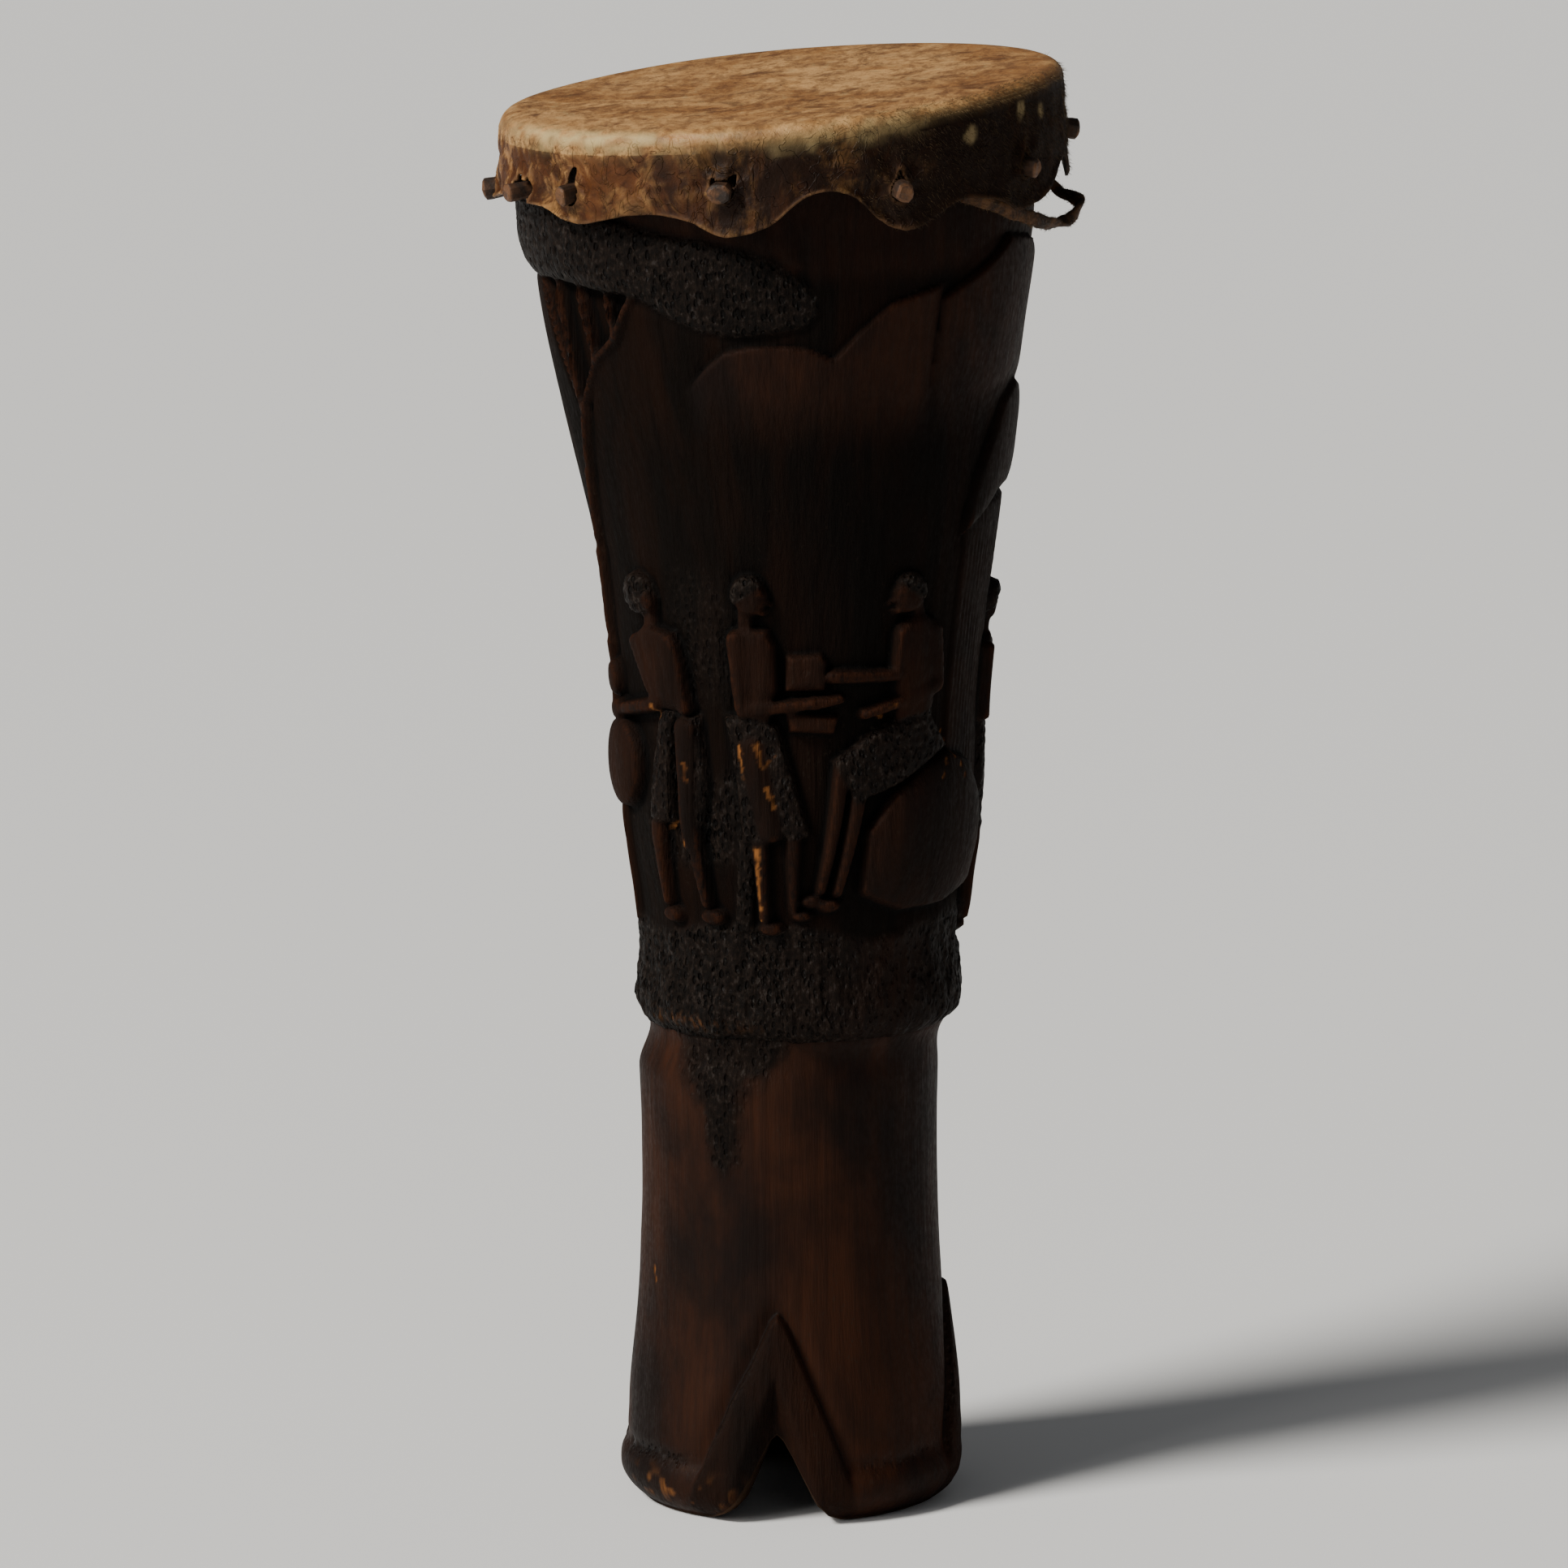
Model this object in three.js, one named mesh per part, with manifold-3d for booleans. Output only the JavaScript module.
// A tall carved drum on three feet, with a pegged hide head, in millimetres.
// +Z is up, the origin is at the middle of the base, and the front faces -Y.
// Angles round the drum are in degrees from the front, positive towards +X.
import * as THREE from 'three';
import { mergeVertices } from 'three/addons/utils/BufferGeometryUtils.js';
import Module from 'manifold-3d';

const wasm = await Module();
wasm.setup();

// Driving dimensions
const headHeight = 977; // top of the hide on the axis
const headTilt = Math.tan((4.7 * Math.PI) / 180); // rise of the head towards +X
const rimRadius = 188; // the log's bearing edge at its widest
const rimInner = 177; // where the bearing edge is highest
const boreRadius = 73; // the hollow in the stem
const hideThickness = 2.5;
const gap = 0.3; // between pieces that touch
const pegLength = 50;
const pegHeadRadius = 7.5;
const pegTipRadius = 5;
const pegReach = 203; // outer end of a peg from the axis
const pegSlope = 8; // degrees that a peg points down outwards
const pegAngles = [-12, 24, 58, 94, 129, 163, 197, 232, 270, 294, 313];
const pegDrops = [43, 54, 56, 49, 48, 46, 46, 48, 54, 47, 44]; // outer ends below the top of the hide
const notchAngles = [-6, 95, 230]; // middles of the arches between the three feet
const skirtDeep = 57; // the skirt's edge at a peg, below the side of the bearing edge
const skirtScallop = 17; // how much higher the edge is between two pegs
const drumSides = 48; // the log and the hide share their facets
const hollowSides = 32;
const bandProud = 5; // the wishbone bands round the arches
const wallProud = 3;
const plantProud = 5;
const figureProud = 8;
const bow = 7.5; // the middle of the log stands this far towards +X

// [height, radius] of the log from the base to the bearing edge
const outerProfile = [
  [0, 104], [6, 113], [16, 118], [27, 118.5], [36, 114.5], [75, 111], [132, 105], [190, 102],
  [300, 102.5], [334, 104], [340, 110], [352, 111], [384, 107.5], [425, 111], [475, 118],
  [567, 123], [647, 132.5], [704, 142], [761, 152], [819, 162], [845, 167], [876, 170.5],
  [905, 172], [925, 175], [945, 181], [954, 185.5],
];

// [height, radius] of the hollow, past both of its mouths
const hollowProfile = [
  [-10, 88], [4, 88], [60, 82], [150, 75], [300, boreRadius], [345, 74], [420, 86], [500, 96],
  [600, 107], [700, 121], [800, 138], [900, 156], [940, 165], [962, 169], [990, 171],
];

const radians = (degrees) => (degrees * Math.PI) / 180;

// The rounded bearing edge, a quarter of an ellipse from its side to its top, as [height, radius] rows
const rimTop = headHeight - hideThickness - gap;
const rimTall = 12;
const rimArc = (grow) => [90, 67, 45, 22, 0].map((turn) => [
  rimTop - rimTall + (rimTall + grow) * Math.cos(radians(turn)),
  rimInner + (rimRadius - rimInner + grow) * Math.sin(radians(turn)),
]);

// 0 below low, 1 above high, and a smooth rise between them
const smooth = (value, low, high) => THREE.MathUtils.smoothstep(value, low, high);

// The top of the log leans with the head: heights rise towards +X, fully above the shoulder
const leanRim = (geometry) => {
  const place = geometry.attributes.position;
  for (let i = 0; i < place.count; i++) {
    const share = smooth(place.getZ(i), 890, 950);
    place.setZ(i, place.getZ(i) + place.getX(i) * headTilt * share);
  }
  return geometry;
};

// The log isn't quite straight: its middle bows towards +X
const bowLog = (geometry) => {
  const place = geometry.attributes.position;
  for (let i = 0; i < place.count; i++) {
    const share = smooth(place.getZ(i), 300, 345) - smooth(place.getZ(i), 640, 840);
    place.setX(i, place.getX(i) + bow * share);
  }
  return geometry;
};

// A body of revolution about Z from [height, radius] rows, closed on the axis at both ends
const turned = (rows, sides, proud = 0) => {
  const points = rows.map(([height, radius]) => new THREE.Vector2(radius + proud, height));
  points.unshift(new THREE.Vector2(0, rows[0][0]));
  points.push(new THREE.Vector2(0, rows.at(-1)[0]));
  return new THREE.LatheGeometry(points, sides).rotateX(Math.PI / 2);
};

// The pitted tree crown stands out as a soft roll under the hide, from the left round to the back
const swellCrown = (geometry) => {
  const place = geometry.attributes.position;
  for (let i = 0; i < place.count; i++) {
    const [x, y, z] = [place.getX(i), place.getY(i), place.getZ(i)];
    const angle = THREE.MathUtils.radToDeg(Math.atan2(x, -y));
    const round = smooth(angle, -175, -140) * (1 - smooth(angle, -50, 5));
    const tall = smooth(z, 830, 860) * (1 - smooth(z, 896, 926));
    const grow = 1 + (7 * round * tall) / Math.max(Math.hypot(x, y), 1);
    place.setXY(i, x * grow, y * grow);
  }
  return geometry;
};

const solid = (geometry) => {
  const bare = geometry.clone();
  bare.deleteAttribute('normal');
  bare.deleteAttribute('uv');
  const merged = mergeVertices(bare, 1e-4);
  return new wasm.Manifold(new wasm.Mesh({
    numProp: 3,
    vertProperties: new Float32Array(merged.attributes.position.array),
    triVerts: new Uint32Array(merged.index.array),
  }));
};

const fromSolid = (body) => {
  const cut = body.getMesh();
  const geometry = new THREE.BufferGeometry();
  geometry.setAttribute('position', new THREE.BufferAttribute(cut.vertProperties, 3));
  geometry.setIndex(new THREE.BufferAttribute(cut.triVerts, 1));
  geometry.computeVertexNormals();
  return geometry;
};

// The log as a full solid, its surface moved out by proud
const logSolid = (proud) => {
  const rows = [...outerProfile, ...rimArc(0)];
  return solid(bowLog(leanRim(swellCrown(turned(rows, drumSides, proud)))));
};

// An outline in (sideways, height) pushed straight out towards an angle, from shift beside the axis
const prism = (shape, angle, shift = 0) => {
  const geometry = new THREE.ExtrudeGeometry(shape, {
    depth: 170, bevelEnabled: false, curveSegments: 5,
  });
  geometry.rotateX(Math.PI / 2).translate(0, -50, 0).rotateZ(radians(angle)).translate(shift, 0, 0);
  return solid(geometry);
};

const polygon = (points) => new THREE.Shape(points.map(([u, z]) => new THREE.Vector2(u, z)));

const oval = (u, z, halfWide, halfTall) => {
  const shape = new THREE.Shape();
  shape.absellipse(u, z, halfWide, halfTall, 0, 2 * Math.PI);
  return shape;
};

// A tapered bar between two points, each with its own width
const bar = ([u0, z0], [u1, z1], wide0, wide1 = wide0) => {
  const long = Math.hypot(u1 - u0, z1 - z0);
  const [across, up] = [-(z1 - z0) / long / 2, (u1 - u0) / long / 2];
  return polygon([
    [u0 - across * wide0, z0 - up * wide0], [u1 - across * wide1, z1 - up * wide1],
    [u1 + across * wide1, z1 + up * wide1], [u0 + across * wide0, z0 + up * wide0],
  ]);
};

// A standing figure in a knee-length wrap; reach is where its hand goes
const standing = ({ angle, look, stride, reach }) => ({
  angle,
  proud: figureProud,
  shapes: [
    oval(look * 4, 644, 12, 16), bar([0, 634], [0, 618], 11),
    polygon([[-16, 623], [16, 623], [12, 560], [-10, 560]]),
    polygon([[-11, 562], [12, 562], [18, 484], [-15, 488]]),
    bar([-4, 490], [-stride, 416], 11, 8), bar([8, 490], [stride, 414], 11, 8),
    bar([look * 10, 612], [look * 17, 575], 9), bar([look * 15, 576], reach, 9, 7),
  ],
});

// A seated figure facing left, with both arms held out and its legs bent to the ground
const seated = (angle) => ({
  angle,
  proud: figureProud,
  shapes: [
    oval(-4, 654, 12, 16), bar([0, 644], [2, 626], 11),
    polygon([[-12, 630], [14, 628], [15, 560], [-8, 556]]),
    bar([-6, 616], [-22, 594], 9), bar([-20, 595], [-52, 600], 8, 7),
    bar([13, 600], [6, 583], 9), bar([8, 584], [-30, 568], 8, 7),
    polygon([[-12, 566], [16, 566], [-20, 505], [-48, 528]]),
    bar([-44, 524], [-52, 430], 12, 9), bar([-26, 512], [-40, 428], 12, 9),
  ],
});

const treeTips = [-46, -24, 2, 30, 58];
const carvings = [
  standing({ angle: -47, look: -1, stride: 14, reach: [-58, 550] }),
  standing({ angle: -13, look: 1, stride: 12, reach: [42, 578] }),
  seated(38),
  standing({ angle: 92, look: 1, stride: 11, reach: [30, 600] }),
  standing({ angle: 148, look: -1, stride: 13, reach: [-34, 570] }),
  standing({ angle: 212, look: 1, stride: 12, reach: [40, 560] }),
  { angle: -74, proud: figureProud, shapes: [oval(0, 517, 13, 30)] },
  { angle: 3, proud: figureProud, shapes: [oval(0, 592, 16, 13)] },
  { angle: 46, proud: figureProud, shapes: [oval(0, 465, 42, 46)] },
  { angle: 180, proud: figureProud, shapes: [polygon([[-18, 500], [18, 500], [12, 418], [-12, 418]])] },
  {
    angle: -68,
    proud: plantProud,
    shift: bow / 2,
    shapes: [
      bar([-4, 590], [0, 764], 8), ...treeTips.map((u) => bar([0, 756], [u, 852], 7, 8)),
    ],
  },
  { angle: 82, proud: plantProud, shapes: [polygon([[-70, 683], [70, 690], [30, 778], [-30, 782]])] },
  { angle: 82, proud: wallProud, shapes: [polygon([[-58, 440], [60, 440], [66, 690], [-64, 690]])] },
];

// The arch that opens each notch, the deeper panel above it and the wishbone band round both
const arch = new THREE.Shape()
  .moveTo(-58, -8).lineTo(-46, -8).quadraticCurveTo(-24, 12, -20, 36).quadraticCurveTo(-12, 60, 0, 67)
  .quadraticCurveTo(12, 60, 18, 36).quadraticCurveTo(24, 12, 44, -8).lineTo(44, -12).lineTo(-58, -12);
const panel = polygon([[-38, 4], [38, 4], [2, 102]]);
const wishbone = polygon([[-62, 9], [60, 9], [4, 150], [1, 150]]);
const panelRadius = 103;

const raised = ({ angle, proud, shapes, shift = bow }) => {
  const outline = shapes.map((shape) => prism(shape, angle, shift)).reduce((whole, next) => whole.add(next));
  return outline.intersect(logSolid(proud));
};

// Where a peg's outer end is, and the direction in which it pulls out
const pegFrame = (angle) => {
  const drop = pegDrops[pegAngles.indexOf(angle)];
  const [side, front] = [Math.sin(radians(angle)), -Math.cos(radians(angle))];
  const outward = new THREE.Vector3(
    side * Math.cos(radians(pegSlope)), front * Math.cos(radians(pegSlope)), -Math.sin(radians(pegSlope)),
  );
  const height = headHeight - drop + rimRadius * side * headTilt;
  const end = new THREE.Vector3(side * pegReach, front * pegReach, height);
  return { outward, end };
};

// A tapered eight-sided stick whose wide end is a peg's outer end, made larger by clearance
const pegStick = (angle, clearance = 0, extra = 0) => {
  const { outward, end } = pegFrame(angle);
  const long = pegLength + 2 * extra;
  const stick = new THREE.CylinderGeometry(pegHeadRadius + clearance, pegTipRadius + clearance, long, 8);
  const turn = new THREE.Quaternion().setFromUnitVectors(new THREE.Vector3(0, 1, 0), outward);
  const middle = end.clone().addScaledVector(outward, -pegLength / 2);
  return stick.applyQuaternion(turn).translate(middle.x, middle.y, middle.z);
};

const makeShell = () => {
  let body = logSolid(0);
  for (const carving of carvings) {
    body = body.add(raised(carving));
  }
  const innerCore = solid(turned([[-20, panelRadius], [200, panelRadius]], drumSides));
  for (const angle of notchAngles) {
    body = body.add(raised({ angle, proud: bandProud, shapes: [wishbone], shift: 0 }));
    body = body.subtract(prism(panel, angle).subtract(innerCore));
    body = body.subtract(prism(arch, angle));
  }
  body = body.subtract(solid(bowLog(leanRim(turned(hollowProfile, hollowSides)))));
  for (const angle of pegAngles) {
    body = body.subtract(solid(pegStick(angle, 0.5, 6)));
  }
  return fromSolid(body);
};

// How far the skirt hangs below the side of the bearing edge: lowest at each peg, drawn up between them
const skirtDrop = (angle) => {
  const away = Math.min(...pegAngles.map((peg) => Math.abs(((angle - peg + 540) % 360) - 180)));
  return skirtDeep - skirtScallop * smooth(away, 0, 17);
};

// A closed skin: under the top and down inside the skirt, then up outside it and over the top.
// The third number of a row is its share of the skirt's drop below the bearing edge's side.
const makeDrumhead = () => {
  const [inside, outside] = [rimArc(gap), rimArc(gap + hideThickness)];
  const side = rimTop - rimTall;
  const rows = [
    [rimTop + gap, 0, 0], ...inside.map(([z, radius]) => [z, radius, 0]).reverse(),
    [side, 189.5, 0.45], [side, 191, 1], [side, 193.5, 1], [side, 192, 0.45],
    ...outside.map(([z, radius]) => [z, radius, 0]), [headHeight, 0, 0],
  ];
  const geometry = new THREE.LatheGeometry(rows.map(([z, radius]) => new THREE.Vector2(radius, z)), drumSides);
  geometry.rotateX(Math.PI / 2);
  const place = geometry.attributes.position;
  for (let i = 0; i < place.count; i++) {
    const angle = THREE.MathUtils.radToDeg(Math.atan2(place.getX(i), -place.getY(i)));
    const share = rows[i % rows.length][2];
    place.setZ(i, place.getZ(i) - share * skirtDrop(angle));
  }
  let body = solid(leanRim(geometry));
  for (const angle of pegAngles) {
    body = body.subtract(solid(pegStick(angle, 0.9, 6)));
  }
  return fromSolid(body);
};

// A flat strip carried along a smooth route: its section is wide upright and thin sideways
const stripWide = 7;
const stripThick = 4;
const strip = (route, steps) => {
  const half = [stripThick / 2, stripWide / 2];
  const section = polygon([
    [-half[0], -half[1] + 1], [-half[0] + 1, -half[1]], [half[0] - 1, -half[1]], [half[0], -half[1] + 1],
    [half[0], half[1] - 1], [half[0] - 1, half[1]], [-half[0] + 1, half[1]], [-half[0], half[1] - 1],
  ]);
  const path = new THREE.CatmullRomCurve3(route.map(([x, y, z]) => new THREE.Vector3(x, y, z)));
  return new THREE.ExtrudeGeometry(section, { extrudePath: path, steps, bevelEnabled: false });
};

// The strip of hide: a stretch that comes out from under the skirt, then the free loop at the right,
// which goes back up behind the skirt. The loop starts a few millimetres on, so that it can swing.
const edgeRoute = [
  [120.7, -138.9, 921], [133.4, -128.9, 916], [147.4, -115.1, 909], [159.4, -99.6, 902], [169.5, -84, 896.4],
];
const loopRoute = [
  [171.5, -79.6, 895], [178.5, -65, 891], [186, -46.4, 888], [194, -30, 888.5], [200.5, -15, 892],
  [202, -5, 896], [197, 4, 899], [189, 8, 901.5], [183, 11, 909],
];

const finish = (color, roughness) => new THREE.MeshStandardMaterial({ color, roughness, metalness: 0 });

const piece = (name, geometry, color, roughness) => {
  const mesh = new THREE.Mesh(geometry, finish(color, roughness));
  mesh.name = name;
  return mesh;
};

const drum = new THREE.Group();
drum.add(piece('shell', makeShell(), 0x3b2a22, 0.6));
drum.add(piece('drumhead', makeDrumhead(), 0xb08a5c, 0.65));
pegAngles.forEach((angle, i) => {
  drum.add(piece(`peg_${String(i + 1).padStart(2, '0')}`, pegStick(angle), 0x7a5a38, 0.8));
});
drum.add(piece('hide_strip', strip(edgeRoute, 6), 0x6b5238, 0.85));
drum.add(piece('carry_loop', strip(loopRoute, 18), 0x6b5238, 0.85));

export default drum;
